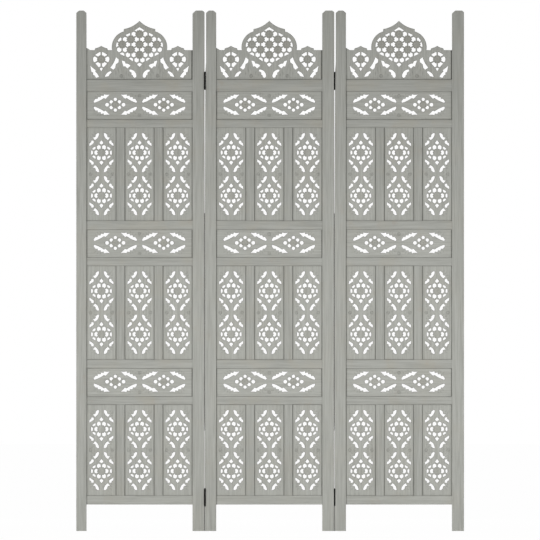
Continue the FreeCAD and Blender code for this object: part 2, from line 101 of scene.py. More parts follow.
# The seam between two wings is dark at the legs and over the middle, where the posts lie closest:
# heights of those stretches, how far a post steps out there and how far the painted shadow reaches, in
# millimetres, and how strong that painted shadow is
LEG_SEAM = (-1.0, 81.0)
MIDDLE_SEAM = (318.0, 1008.0)
CLOSED_SEAM = (345.0, 1005.0)
SEAM_STEP = 0.7
SEAM_REACH = 2.4
SEAM_SHADE = 1.5
# How much dust and painted shade darkens the carving of each kind of board
MEDALLION_GRIME_AND_SHADE = 0.55
BAND_GRIME_AND_SHADE = 0.7
CREST_GRIME_AND_SHADE = 1.0
# How strongly the stain of the rosettes shows on each kind of board, and how much paler their ridges are
MEDALLION_STAIN = 0.35
BAND_STAIN = 0.9
CREST_STAIN = 1.0
RIDGE_PALENESS = 0.45
# A rosette of one unit: its petals, how far their shoulders and peaks lean out, and the boss among them
PETALS = 12
PETAL_SHAPE = (0.30, 0.215, 1.0)
PETAL_PLACE = (0.62, 0.0, 0.45)
SHOULDER_LEAN = 0.10
PEAK_LEAN = 0.06
BOSS_RADIUS = 0.29
BOSS_RISE = 3.2
# A small round flower of one unit: its ring, the groove along it and the dot inside
FLOWER_RING = 0.82
FLOWER_GROOVE = 0.2
FLOWER_DOT = 0.3
# How far the shapes that are cut away start above a board's face, in millimetres
CUTTER_LIFT = 0.05
# Edges that are rounded, in millimetres: all in the tops of the posts, elsewhere those longer than this
POST_TOP = 20.0
POST_EDGE = 60.0
LONG_EDGE = 20.0
# How many steps there are round an edge
EDGE_STEPS = 3
HINGE_STEPS = 2
# How near two places count as the same, and how near two points are merged, in millimetres
SLACK = 0.1
MERGE_REACH = 0.005
# Angles in degrees: flat faces that become one, edges that are sharp, and faces that are shaded as one
FLAT_ANGLE = 0.1
SHARP_ANGLE = 25
HINGE_ANGLE = 60
FRAME_SMOOTHING = 40
BOARD_SMOOTHING = 50
# How much of a normal points to the front or back: more is a board's face, less the wall of an opening
FACE_TURN = 0.99
WALL_TURN = 0.5
# Half the width that is kept as one panel, as a share of the width that is seen of it
PANEL_SHARE = 0.6
# A metre: far enough from a piece that none of its dust and painted shade comes in from there
FAR_OFF = 1.0

# How finely the grain is drawn along each axis
UPRIGHT = (230.0, 230.0, 7.0)
LEVEL = (7.0, 230.0, 230.0)
# How pale each kind of wood is, and how much warm wood shows through its wash
POST_PALENESS = 1.04
RAIL_PALENESS = 1.0
LOWEST_RAIL_PALENESS = 1.06
MULLION_PALENESS = 0.98
BOARD_PALENESS = 1.10
PLAIN_WARMTH = 0.2
MULLION_WARMTH = 0.3
RAIL_WARMTH = 0.55
# Dust and painted shade at the left, right, foot and top of what is seen of a piece, and their reach from
# the sides and ends
NO_BORDER = (0.0, 0.0, 0.0, 0.0)
NO_REACH = (0.1, 0.1)
RAIL_BORDER = (0.85, 0.15, 0.0, 0.0)
RAIL_REACH = (4.6, 0.1)
MULLION_BORDER = (0.0, 0.0, 0.3, 0.3)
MULLION_REACH = (0.1, 1.8)
PANEL_BORDERS = {
    "lower": (0.80, 0.78, 0.78, 0.88),
    "middle": (0.80, 0.78, 0.80, 0.88),
    "upper": (0.92, 0.78, 0.36, 0.45),
}
PANEL_REACH = (4.8, 2.2)
BAND_BORDER = (1.0, 0.95, 0.74, 0.74)
BAND_REACH = (5.2, 2.0)
CREST_BORDER = (0.68, 2.2, 0.66, 0.0)
CREST_REACH = (5.2, 2.2)
# How strongly each mark shows in the wood
CLOUD_SHARE = 0.30
FIGURE_SHARE = 0.22
WARM_SHARE = 0.7
KNOT_SHARE = 0.20
PORE_SHARE = 0.16
SPECK_SHARE = 0.14
EDGE_SHARE = 0.55
# The rim and groove shares darken with dust and painted shade
RIM_SHARE = 0.62
GROOVE_SHARE = 0.36
PETAL_SHARE = 0.52
# Gloss and relief of the wood and of the iron
WOOD_ROUGHNESS = 0.74
STREAK_ROUGHNESS = -0.14
PORE_DEPTH = 0.7
WOOD_RELIEF = 0.25
WOOD_RELIEF_SHARE = 0.35
IRON_PATCHES = 0.5
IRON_ROUGHNESS = 0.5
IRON_MOTTLE_ROUGHNESS = 0.3
IRON_METAL = 0.2
IRON_SPECULAR = 0.12
IRON_RELIEF = 0.1
IRON_RELIEF_SHARE = 0.3

# Floor, lights and camera, in metres and degrees; each light has its place, aim, size and spread
FLOOR_SIZE = 60.0
FLOOR_GREY = (0.9, 0.9, 0.9, 1.0)
FLOOR_WHITE = 0.985
WHITE = (1.0, 1.0, 1.0, 1.0)
FRONT_LIGHT = ((0.0, -3.5, 0.5), (0.0, 0.0, 0.5), (6.0, 0.9), 75)
BACK_LIGHT = ((0.0, 2.8, 1.2), (0.0, 0.0, 0.8), (3.0, 1.6), 180)
SENSOR_WIDTH = 36.0


def length_choice(name, description, default, least):
    """A length that is written in millimetres and kept in metres."""
    return bpy.props.FloatProperty(
        name=name, description=description, default=default * MM, min=least * MM, unit="LENGTH"
    )


def colour_choice(name, description, default):
    return bpy.props.FloatVectorProperty(
        name=name, description=description, default=default, subtype="COLOR", min=0, max=1
    )


class DividerSizes(bpy.types.PropertyGroup):
    """Sizes of the worn edges and of the carving."""

    frame_edge: length_choice("Frame edge", "Rounding along the posts, rails and mullions", 1.5, 0.2)
    fret_chamfer: length_choice("Fret chamfer", "Width of the broken edge round each cut opening", 0.6, 0.1)
    # The darkened ring holds dust and painted shade
    fret_halo: length_choice("Fret halo", "Width of the darkened ring beside each broken edge", 1.2, 0.1)
    petal_rise: length_choice("Petal rise", "How far the petals of a rosette stand out", 0.8, 0.1)
    stroke_width: length_choice("Stroke width", "Widest part of a chip-carved stroke", 1.5, 0.2)
    stroke_depth: length_choice("Stroke depth", "Deepest part of a chip-carved stroke", 0.8, 0.1)
    flower_radius: length_choice("Flower radius", "Radius of the small round flowers", 5.4, 0.5)
    hinge_edge: length_choice("Hinge edge", "Rounding along the knuckles and leaves", 0.2, 0.05)


class DividerColours(bpy.types.PropertyGroup):
    """Colours of the limewashed wood and of the iron."""

    wash: colour_choice("Wash", "Grey wash over the wood", (0.405, 0.410, 0.378))
    wash_low: colour_choice("Low wash", "The wash where it has sunk into the grain", (0.318, 0.321, 0.292))
    bare_wood: colour_choice("Bare wood", "Warm wood that shows in rubbed spots", (0.365, 0.318, 0.262))
    warm_wash: colour_choice("Warm wash", "Wash with warm wood showing through", (0.395, 0.372, 0.306))
    rubbed_edge: colour_choice("Rubbed edge", "Wood and wash along rubbed edges", (0.300, 0.290, 0.254))
    petal_stain: colour_choice("Petal stain", "Warm stain in the petals", (0.225, 0.212, 0.168))
    # One dark colour for dust, pores and specks, and for the painted shade in recesses, round the openings
    # and in the seams
    dust_and_shade: colour_choice("Dust", "Dark dust in recesses and round the openings", (0.100, 0.100, 0.088))
    iron: colour_choice("Iron", "Black hinge iron", (0.004, 0.004, 0.004))
    iron_rubbed: colour_choice("Rubbed iron", "Iron where the black has worn", (0.022, 0.021, 0.020))


class DividerStage(bpy.types.PropertyGroup):
    """Camera and light round the divider."""

    camera_distance: bpy.props.FloatProperty(
        name="Camera distance",
        description="From the camera to the front faces of the posts",
        default=60.0,
        min=1.0,
        unit="LENGTH",
    )
    camera_height: bpy.props.FloatProperty(
        name="Camera height",
        description="Height of the camera above the floor",
        default=0.8275,
        unit="LENGTH",
    )
    camera_side: bpy.props.FloatProperty(
        name="Camera side",
        description="Place of the camera along the screen",
        default=-0.0005,
        unit="LENGTH",
    )
    picture_width: bpy.props.FloatProperty(
        name="Picture width",
        description="Width of the picture at the front faces of the posts",
        default=1.7118,
        min=0.1,
        unit="LENGTH",
    )
    sky: bpy.props.FloatProperty(
        name="Sky",
        description="Strength of the even light from all round",
        default=0.40,
        min=0.0,
    )
    key_power: bpy.props.FloatProperty(
        name="Front light",
        description="Power of the wide light in front",
        default=25.0,
        min=0.0,
        unit="POWER",
    )
    fill_power: bpy.props.FloatProperty(
        name="Back light",
        description="Power of the wide light behind",
        default=26.0,
        min=0.0,
        unit="POWER",
    )


def sizes():
    return bpy.context.scene.divider_sizes


def colours():
    return bpy.context.scene.divider_colours


# Node building


def put(tree, kind, inputs=None, **settings):
    """Adds a node; each input is a value or the socket that feeds it."""
    node = tree.nodes.new(kind)
    for key, value in settings.items():
        setattr(node, key, value)
    for key, value in (inputs or {}).items():
        if isinstance(value, bpy.types.NodeSocket):
            tree.links.new(value, node.inputs[key])
        else:
            node.inputs[key].default_value = value
    return node


def calc(tree, operation, first, second=0.0, third=0.0, clamp=False):
    inputs = {0: first, 1: second, 2: third}
    return put(tree, "ShaderNodeMath", inputs, operation=operation, use_clamp=clamp).outputs[0]


def ramp(tree, value, low, high):
    """A smooth step from 0 at low to 1 at high."""
    node = put(
        tree,
        "ShaderNodeMapRange",
        {"Value": value, "From Min": low, "From Max": high},
        interpolation_type="SMOOTHSTEP",
    )
    return node.outputs["Result"]


def blend(tree, share, first, second):
    node = put(tree, "ShaderNodeMix", {0: share, 6: first, 7: second}, data_type="RGBA")
    return node.outputs[2]


def noise(tree, vector, scale, detail, roughness, distortion=0.0):
    node = put(
        tree,
        "ShaderNodeTexNoise",
        {
            "Vector": vector,
            "Scale": scale,
            "Detail": detail,
            "Roughness": roughness,
            "Distortion": distortion,
        },
    )
    return node.outputs["Fac"]


def stretched(tree, vector, along):
    node = put(tree, "ShaderNodeVectorMath", {0: vector, 1: along}, operation="MULTIPLY")
    return node.outputs[0]


def new_group(name, inputs, outputs):
    """An empty shader group with its sockets; returns the tree, its entry and its exit."""
    tree = bpy.data.node_groups.new(name, "ShaderNodeTree")
    for label, kind in inputs:
        tree.interface.new_socket(label, in_out="INPUT", socket_type=kind)
    for label in outputs:
        tree.interface.new_socket(label, in_out="OUTPUT", socket_type="NodeSocketFloat")
    return tree, tree.nodes.new("NodeGroupInput"), tree.nodes.new("NodeGroupOutput")


def grain_group():
    """Long streaks and fine open pores that run along the grain."""
    tree, entry, leave = new_group(
        "Wood grain",
        [("Vector", "NodeSocketVector"), ("Along", "NodeSocketVector")],
        ["Streak", "Pore", "Figure"],
    )
    run = stretched(tree, entry.outputs["Vector"], entry.outputs["Along"])
    streak = noise(tree, run, scale=1.0, detail=5.0, roughness=0.62, distortion=0.35)
    pore = noise(tree, run, scale=3.1, detail=3.0, roughness=0.55)
    figure = noise(tree, run, scale=0.21, detail=3.0, roughness=0.5, distortion=0.8)
    tree.links.new(streak, leave.inputs["Streak"])
    tree.links.new(ramp(tree, pore, low=0.60, high=0.72), leave.inputs["Pore"])
    tree.links.new(figure, leave.inputs["Figure"])
    return tree


def patina_group():
    """Cloudy unevenness of the wash, rubbed spots, small specks and warm patches."""
    tree, entry, leave = new_group(
        "Wash patina", [("Vector", "NodeSocketVector")], ["Cloud", "Rubbed", "Speck", "Warm"]
    )
    place = entry.outputs["Vector"]
    cloud = noise(tree, place, scale=8.0, detail=3.0, roughness=0.55)
    spots = noise(tree, place, scale=34.0, detail=4.0, roughness=0.6, distortion=0.4)
    where = noise(tree, place, scale=5.5, detail=2.0, roughness=0.5)
    specks = noise(tree, place, scale=420.0, detail=2.0, roughness=0.5)
    warm = noise(tree, place, scale=11.0, detail=3.0, roughness=0.55)
    spotted = ramp(tree, spots, low=0.56, high=0.70)
    rubbed = calc(tree, "MULTIPLY", spotted, ramp(tree, where, low=0.48, high=0.66))
    tree.links.new(cloud, leave.inputs["Cloud"])
    tree.links.new(rubbed, leave.inputs["Rubbed"])
    tree.links.new(ramp(tree, specks, low=0.66, high=0.76), leave.inputs["Speck"])
    tree.links.new(ramp(tree, warm, low=0.46, high=0.66), leave.inputs["Warm"])
    return tree


def edge_group():
    """Breaks an even edge mask into rubbed stretches."""
    tree, entry, leave = new_group(
        "Rubbed edges", [("Vector", "NodeSocketVector"), ("Edge", "NodeSocketFloat")], ["Mask"]
    )
    stretches = noise(tree, entry.outputs["Vector"], scale=46.0, detail=4.0, roughness=0.6)
    patches = ramp(tree, stretches, low=0.34, high=0.62)
    tree.links.new(calc(tree, "MULTIPLY", entry.outputs["Edge"], patches), leave.inputs["Mask"])
    return tree


# The axis of the place map that each side of a border lies on, and the way in from it
BORDER_SIDES = {"Left": (0, 1.0), "Right": (0, -1.0), "Foot": (1, 1.0), "Top": (1, -1.0)}


def recess_group():
    """Dust and painted shade where a piece runs under its neighbours: darkest at the edge of what is seen.

    The place runs from -1 to 1 across and up what is seen of the piece; halves and reaches are metres,
    and each side has its own weight.
    """
    sizes_in = ("Half Width", "Half Height", "Side Reach", "End Reach")
    inputs = [(label, "NodeSocketFloat") for label in (*sizes_in, *BORDER_SIDES)]
    tree, entry, leave = new_group("Recess grime and shade", [("Place", "NodeSocketVector"), *inputs], ["Mask"])
    given = entry.outputs
    parts = put(tree, "ShaderNodeSeparateXYZ", {0: given["Place"]}).outputs
    mask = 0.0
    for side, (axis, way) in BORDER_SIDES.items():
        half, reach = (("Half Width", "Side Reach"), ("Half Height", "End Reach"))[axis]
        share = calc(tree, "ADD", calc(tree, "MULTIPLY", parts[axis], way), 1.0)
        inside = calc(tree, "MULTIPLY", share, given[half])
        near = calc(tree, "SUBTRACT", 1.0, ramp(tree, inside, 0.0, given[reach]))
        mask = calc(tree, "MAXIMUM", mask, calc(tree, "MULTIPLY", near, given[side]))
    tree.links.new(mask, leave.inputs["Mask"])
    return tree


def knot_group():
    """Sparse round knots with darker rings."""
    tree, entry, leave = new_group("Wood knots", [("Vector", "NodeSocketVector")], ["Knot"])
    flat = stretched(tree, entry.outputs["Vector"], (1.0, 0.15, 0.8))
    cells = put(tree, "ShaderNodeTexVoronoi", {"Vector": flat, "Scale": 6.5})
    away = cells.outputs["Distance"]
    heart = calc(tree, "SUBTRACT", 1.0, ramp(tree, away, low=0.015, high=0.06))
    rings = calc(tree, "SINE", calc(tree, "MULTIPLY", away, 240.0))
    ringed = calc(tree, "MULTIPLY", heart, calc(tree, "MULTIPLY_ADD", rings, 0.3, 0.5))
    tree.links.new(calc(tree, "ADD", heart, ringed, clamp=True), leave.inputs["Knot"])
    return tree


GROUPS = {}


def use_group(tree, make, inputs):
    """Adds the shared group of a maker, which is built the first time it is asked for."""
    if make not in GROUPS:
        GROUPS[make] = make()
    return put(tree, "ShaderNodeGroup", inputs, node_tree=GROUPS[make]).outputs


def marked(tree, name):
    """How strongly a spot carries a mark that it was given while the piece was shaped."""
    return put(tree, "ShaderNodeAttribute", attribute_name=name).outputs["Fac"]


def blank_material(name):
    material = bpy.data.materials.new(name)
    material.use_nodes = True
    tree = material.node_tree
    shader = tree.nodes["Principled BSDF"]
    return material, tree, shader


def opaque(colour, paleness=1.0):
    return (*(paleness * part for part in colour), 1.0)


def limewashed_wood(
    name,
    along,
    paleness,
    seen=(FAR_OFF, FAR_OFF),
    reach=NO_REACH,
    border=NO_BORDER,
    warmth=PLAIN_WARMTH,
):
    """Grey-washed wood whose grain runs one way.

    Seen is the width and height of what is seen of the piece, in metres. Its border is the weight of the
    dust and painted shade at the left, right, foot and top of that, and reach is how far they come in from
    the sides and from the ends, in millimetres.
    """
    material, tree, shader = blank_material(name)
    tint = colours()
    place = put(tree, "ShaderNodeTexCoord").outputs
    vector = place["Object"]
    grain = use_group(tree, grain_group, {"Vector": vector, "Along": along})
    patina = use_group(tree, patina_group, {"Vector": vector})
    knots = use_group(tree, knot_group, {"Vector": vector})
    rubbed = use_group(tree, edge_group, {"Vector": vector, "Edge": marked(tree, "edge")})
    recess = use_group(
        tree,
        recess_group,
        {
            "Place": place["UV"],
            "Half Width": seen[0] / 2,
            "Half Height": seen[1] / 2,
            "Side Reach": reach[0] * MM,
            "End Reach": reach[1] * MM,
            **dict(zip(BORDER_SIDES, border)),
        },
    )
    wash = opaque(tint.wash, paleness)
    wash_low = opaque(tint.wash_low, paleness)
    streak = ramp(tree, grain["Streak"], low=0.30, high=0.66)
    colour = blend(tree, streak, wash_low, wash)
    pale = blend(tree, CLOUD_SHARE, colour, wash)
    colour = blend(tree, ramp(tree, patina["Cloud"], low=0.25, high=0.75), colour, pale)
    figure = calc(tree, "MULTIPLY", ramp(tree, grain["Figure"], low=0.50, high=0.74), FIGURE_SHARE)
    colour = blend(tree, figure, colour, wash_low)
    marks = (
        (patina["Rubbed"], warmth, tint.bare_wood),
        (patina["Warm"], WARM_SHARE * warmth, tint.warm_wash),
        (knots["Knot"], KNOT_SHARE, tint.bare_wood),
        (grain["Pore"], PORE_SHARE, tint.dust_and_shade),
        (patina["Speck"], SPECK_SHARE, tint.dust_and_shade),
        (rubbed["Mask"], EDGE_SHARE, tint.rubbed_edge),
        # Rim: dust and painted shade round the openings and in the seams between wings
        (marked(tree, "rim"), RIM_SHARE, tint.dust_and_shade),
        # Groove: dust and painted shade in the chip carving
        (marked(tree, "groove"), GROOVE_SHARE, tint.dust_and_shade),
        (marked(tree, "petal"), PETAL_SHARE, tint.petal_stain),
    )
    for mask, share, paint in marks:
        colour = blend(tree, calc(tree, "MULTIPLY", mask, share), colour, opaque(paint))
    # Dust and painted shade at the borders of what is seen, where the piece runs under its neighbours
    colour = blend(tree, recess["Mask"], colour, opaque(tint.dust_and_shade))
    tree.links.new(colour, shader.inputs["Base Color"])
    roughness = calc(tree, "MULTIPLY_ADD", streak, STREAK_ROUGHNESS, WOOD_ROUGHNESS)
    tree.links.new(roughness, shader.inputs["Roughness"])
    height = calc(tree, "SUBTRACT", grain["Streak"], calc(tree, "MULTIPLY", grain["Pore"], PORE_DEPTH))
    relief = {"Height": height, "Strength": WOOD_RELIEF_SHARE, "Distance": WOOD_RELIEF * MM}
    bump = put(tree, "ShaderNodeBump", relief)
    tree.links.new(bump.outputs["Normal"], shader.inputs["Normal"])
    return material


def black_iron():
    """Blackened iron, rubbed grey along its edges."""
    material, tree, shader = blank_material("Black iron")
    tint = colours()
    vector = put(tree, "ShaderNodeTexCoord").outputs["Object"]
    rubbed = use_group(tree, edge_group, {"Vector": vector, "Edge": marked(tree, "edge")})
    mottle = noise(tree, vector, scale=260.0, detail=4.0, roughness=0.6)
    patches = calc(tree, "MULTIPLY", ramp(tree, mottle, low=0.52, high=0.74), IRON_PATCHES)
    worn = calc(tree, "MAXIMUM", patches, rubbed["Mask"])
    colour = blend(tree, worn, opaque(tint.iron), opaque(tint.iron_rubbed))
    tree.links.new(colour, shader.inputs["Base Color"])
    roughness = calc(tree, "MULTIPLY_ADD", mottle, IRON_MOTTLE_ROUGHNESS, IRON_ROUGHNESS)
    tree.links.new(roughness, shader.inputs["Roughness"])
    shader.inputs["Metallic"].default_value = IRON_METAL
    shader.inputs["Specular IOR Level"].default_value = IRON_SPECULAR
    relief = {"Height": mottle, "Strength": IRON_RELIEF_SHARE, "Distance": IRON_RELIEF * MM}
    bump = put(tree, "ShaderNodeBump", relief)
    tree.links.new(bump.outputs["Normal"], shader.inputs["Normal"])
    return material


# Modelling steps


def deselect():
    bpy.ops.object.select_all(action="DESELECT")


def make_active(piece):
    deselect()
    piece.select_set(True)
    bpy.context.view_layer.objects.active = piece


def edit(piece, elements):
    """Goes into edit mode on one piece with nothing selected."""
    make_active(piece)
    bpy.ops.object.mode_set(mode="EDIT")
    bpy.ops.mesh.select_mode(type=elements)
    bpy.ops.mesh.select_all(action="DESELECT")
    return bmesh.from_edit_mesh(piece.data)


def leave_edit():
    bpy.ops.object.mode_set(mode="OBJECT")


def pick(piece, items, test):
    """Selects the elements that a test accepts."""
    found = 0
    for item in items:
        wanted = test(item)
        item.select_set(wanted)
        found += wanted
    bmesh.update_edit_mesh(piece.data)
    if not found:
        raise RuntimeError(f"nothing to shape was found on {piece.name}")


def middle_of(item):
    return sum((v.co for v in item.verts), Vector()) / len(item.verts)


def add_object(name, mesh):
    piece = bpy.data.objects.new(name, mesh)
    bpy.context.scene.collection.objects.link(piece)
    return piece


def take_up(node, name):
    """A merged copy of a frame node, its flat faces made whole, as the start of a piece."""
    piece = add_object(name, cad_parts[node].data.copy())
    piece.data.materials.clear()
    edit(piece, "VERT")
    bpy.ops.mesh.select_all(action="SELECT")
    bpy.ops.mesh.customdata_custom_splitnormals_clear()
    bpy.ops.mesh.remove_doubles(threshold=MERGE_REACH * MM)
    bpy.ops.mesh.dissolve_limited(angle_limit=radians(FLAT_ANGLE))
    leave_edit()
    return piece


def keep_middle(piece, middle, reach):
    """Keeps the solid of a group that stands over its middle."""
    mesh = edit(piece, "VERT")
    pick(piece, mesh.verts, lambda v: abs(v.co.x - middle) > reach)
    bpy.ops.mesh.delete(type="VERT")
    leave_edit()


def round_edges(piece, test, width, segments):
    """Bevels the edges that a test accepts and marks the new faces as rubbed."""
    mesh = edit(piece, "EDGE")
    pick(piece, mesh.edges, test)
    bpy.ops.mesh.bevel(offset=width, segments=segments, affect="EDGES", clamp_overlap=False, material=1)
    mesh = bmesh.from_edit_mesh(piece.data)
    layer = mesh.loops.layers.float.get("edge") or mesh.loops.layers.float.new("edge")
    for face in mesh.faces:
        if face.material_index == 1:
            face.material_index = 0
            for loop in face.loops:
                loop[layer] = 1.0
    bmesh.update_edit_mesh(piece.data)
    leave_edit()


def cut_across(piece, heights):
    """Divides a piece's faces level at each height without parting it."""
    for height in heights:
        edit(piece, "VERT")
        bpy.ops.mesh.select_all(action="SELECT")
        bpy.ops.mesh.bisect(plane_co=(0, 0, height * MM), plane_no=(0, 0, 1))
        leave_edit()


def within(height, span):
    """Whether a height in metres lies in a span in millimetres."""
    return (span[0] - SLACK) * MM < height < (span[1] + SLACK) * MM


def close_seam(piece, seam):
    """Brings the middle of a left post's edge as close to the next wing as its leg is."""
    mesh = edit(piece, "VERT")
    pick(piece, mesh.verts, lambda v: within(v.co.z, CLOSED_SEAM) and v.co.x < seam + SEAM_REACH * MM)
    bpy.ops.transform.translate(value=(-SEAM_STEP * MM, 0, 0))
    leave_edit()


def shade_seam(piece, seam):
    """Paints shadow on a post's side and its rounded edges where they lie closest to the next wing."""
    rim = piece.data.attributes.new("rim", "FLOAT", "CORNER")
    points = piece.data.vertices
    for face in piece.data.polygons:
        corners = [points[index].co for index in face.vertices]
        beside = all(abs(point.x - seam) < SEAM_REACH * MM for point in corners)
        for span in (LEG_SEAM, MIDDLE_SEAM):
            if beside and all(within(point.z, span) for point in corners):
                for corner in face.loop_indices:
                    rim.data[corner].value = SEAM_SHADE


def is_sharp(edge):
    return len(edge.link_faces) == 2 and edge.calc_face_angle(0.0) > radians(SHARP_ANGLE)


def on_face(edge, box):
    """Whether an edge lies on the front or back of a box."""
    depth = middle_of(edge).y
    return min(abs(depth - corner.y) for corner in box) < SLACK * MM


def run_along(edge, axis):
    first, second = (v.co for v in edge.verts)
    return abs(first[axis] - second[axis])


def long_on_face(node, axis):
    """A test for the sharp edges that run along an axis on the front and back of a frame node."""
    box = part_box(node)
    return lambda edge: on_face(edge, box) and is_sharp(edge) and run_along(edge, axis) > LONG_EDGE * MM


def lay_place_map(piece, across, spans):
    """A map of the piece's own place, from -1 to 1 across and up the span that is nearest."""
    mesh = piece.data
    for other in [item.name for item in mesh.uv_layers]:
        mesh.uv_layers.remove(mesh.uv_layers[other])
    layer = mesh.uv_layers.new(name="place")
    for loop in mesh.loops:
        point = mesh.vertices[loop.vertex_index].co
        low, high = min(spans, key=lambda span: abs(point.z - (span[0] + span[1]) / 2))
        layer.data[loop.index].uv = (
            2 * (point.x - across[0]) / (across[1] - across[0]) - 1,
            2 * (point.z - low) / (high - low) - 1,
        )


def soften(piece, angle):
    make_active(piece)
    bpy.ops.object.shade_smooth_by_angle(angle=radians(angle))


def copy_of(model, name, run, rise=0.0):
    """A copy of a model with its own mesh, moved along and up within the mesh."""
    piece = add_object(name, model.data.copy())
    piece.data.transform(Matrix.Translation((run, 0.0, rise)))
    return piece


def join(base, others):
    make_active(base)
    for other in others:
        other.select_set(True)
    bpy.ops.object.join()
    return base


def throw_away(piece):
    mesh = piece.data
    bpy.data.objects.remove(piece)
    bpy.data.meshes.remove(mesh)


def settle(piece, body, slot, material, *nodes):
    """Gives a finished piece its finish, its body and the frame nodes that it stands for."""
    piece.data.materials.clear()
    piece.data.materials.append(material)
    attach(piece, body)
    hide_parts(*nodes)


def middle_x(node):
    low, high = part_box(node)
    return (low.x + high.x) / 2


def wing_run(wing):
    """How far a wing stands from the middle wing."""
    return middle_x(f"{wing}_crest_rail") - middle_x(f"{MIDDLE_WING}_crest_rail")


def opening(wing):
    """The left and right side of a wing's opening, between its posts."""
    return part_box(f"{wing}_left_post")[1].x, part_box(f"{wing}_right_post")[0].x


def between(wing, lower, upper):
    """The foot and top of what is seen between two rails of a wing."""
    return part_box(f"{wing}_{lower}")[1].z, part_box(f"{wing}_{upper}")[0].z


def panel_span(wing, tier):
    return between(wing, f"{tier}_sill_rail", f"{tier}_band_rail")


def band_span(wing, tier):
    above = {"lower": "middle_sill_rail", "middle": "upper_sill_rail", "upper": "crest_rail"}
    return between(wing, f"{tier}_band_rail", above[tier])


def length(span):
    return span[1] - span[0]


def middle(span):
    return (span[0] + span[1]) / 2


# Carving


def shift(model, mesh, test, move):
    """Moves the vertices of a model that a test accepts."""
    bpy.ops.mesh.select_all(action="DESELECT")
    pick(model, mesh.verts, test)
    bpy.ops.transform.translate(value=move)


def pyramid():
    """A four-sided pyramid, one unit out to its corners and one unit high about its middle."""
    deselect()
    bpy.ops.mesh.primitive_cone_add(vertices=4, radius1=1.0, radius2=0.0, depth=1.0, location=(0, 0, 0))
    return bpy.context.object


def rosette_model():
    """Petals round a boss, one unit out to the petal tips, facing up."""
    model = pyramid()
    mesh = edit(model, "VERT")
    pick(model, mesh.verts, lambda v: True)
    bpy.ops.transform.resize(value=PETAL_SHAPE)
    bpy.ops.transform.translate(value=PETAL_PLACE)
    shift(model, mesh, lambda v: abs(v.co.y) > PETAL_SHAPE[1] / 2, (SHOULDER_LEAN, 0.0, 0.0))
    shift(model, mesh, lambda v: v.co.z > PETAL_PLACE[2], (PEAK_LEAN, 0.0, 0.0))
    bpy.ops.mesh.select_all(action="SELECT")
    others = PETALS - 1
    turn = 2 * pi * others / PETALS
    bpy.ops.mesh.spin(steps=others, dupli=True, angle=turn, center=(0, 0, 0), axis=(0, 0, 1))
    leave_edit()
    deselect()
    bpy.ops.mesh.primitive_uv_sphere_add(segments=6, ring_count=4, radius=BOSS_RADIUS, location=(0, 0, 0))
    boss = bpy.context.object
    edit(boss, "VERT")
    bpy.ops.mesh.select_all(action="SELECT")
    bpy.ops.transform.resize(value=(1.0, 1.0, BOSS_RISE))
    leave_edit()
    return join(model, [boss])


def stroke_model():
    """A pointed chip as long and as wide as one unit each side, its ridge pointing up."""
    model = pyramid()
    mesh = edit(model, "VERT")
    shift(model, mesh, lambda v: True, (0.0, 0.0, 0.5))
    leave_edit()
    return model


def flower_model():
    """A round groove with a dot in it, one unit in radius, to be cut into a board."""
    deselect()
    bpy.ops.mesh.primitive_torus_add(
        major_segments=18, minor_segments=4, major_radius=FLOWER_RING, minor_radius=FLOWER_GROOVE
    )
    ring = bpy.context.object
    deselect()
    bpy.ops.mesh.primitive_uv_sphere_add(segments=8, ring_count=4, radius=FLOWER_DOT)
    dot = bpy.context.object
    return join(ring, [dot])


def turned(face, upward):
    """Turns a model that faces up towards the front (-1) or back (1) of a board, or into it."""
    return Matrix.Rotation(radians(90 if (face < 0) == upward else -90), 4, "X")


def board_face(piece, face):
    """Where a board's front or back lies."""
    depths = [v.co.y for v in piece.data.vertices]
    return min(depths) if face < 0 else max(depths)


def mirrored(points):
    """Places in the right half with their mirror images, none twice."""
    return list(dict.fromkeys((way * x, z) for x, z in points for way in (1, -1)))


def add_rosettes(board, model, places, size, stain):
    """Sets a stained rosette on both faces of a board at each place, its ridges paler than its valleys."""
    heights = [v.co.z for v in model.data.vertices]
    petal = model.data.attributes.new("petal", "FLOAT", "POINT")
    shares = [1.0 - RIDGE_PALENESS * min(max(height, 0.0), 1.0) for height in heights]
    petal.data.foreach_set("value", [stain * share for share in shares])
    rosettes = []
    for face in FACES:
        depth = board_face(board, face)
        for x, z in places:
            rosette = add_object("rosette", model.data.copy())
            scale = Matrix.Diagonal((size, size, sizes().petal_rise, 1.0))
            place = Matrix.Translation((x, depth, z))
            rosette.data.transform(place @ turned(face, True) @ scale)
            rosettes.append(rosette)
    join(board, rosettes)


def stroke_places(strokes, centres, both_ways):
    """Root and tip of each stroke with its mirror images, about each centre."""
    places = []
    for centre_x, centre_z in centres:
        for stroke in strokes:
            for across in (MM, -MM):
                for upward in (MM, -MM) if both_ways else (MM,):
                    places.append([(centre_x + across * x, centre_z + upward * z) for x, z in stroke])
    return places


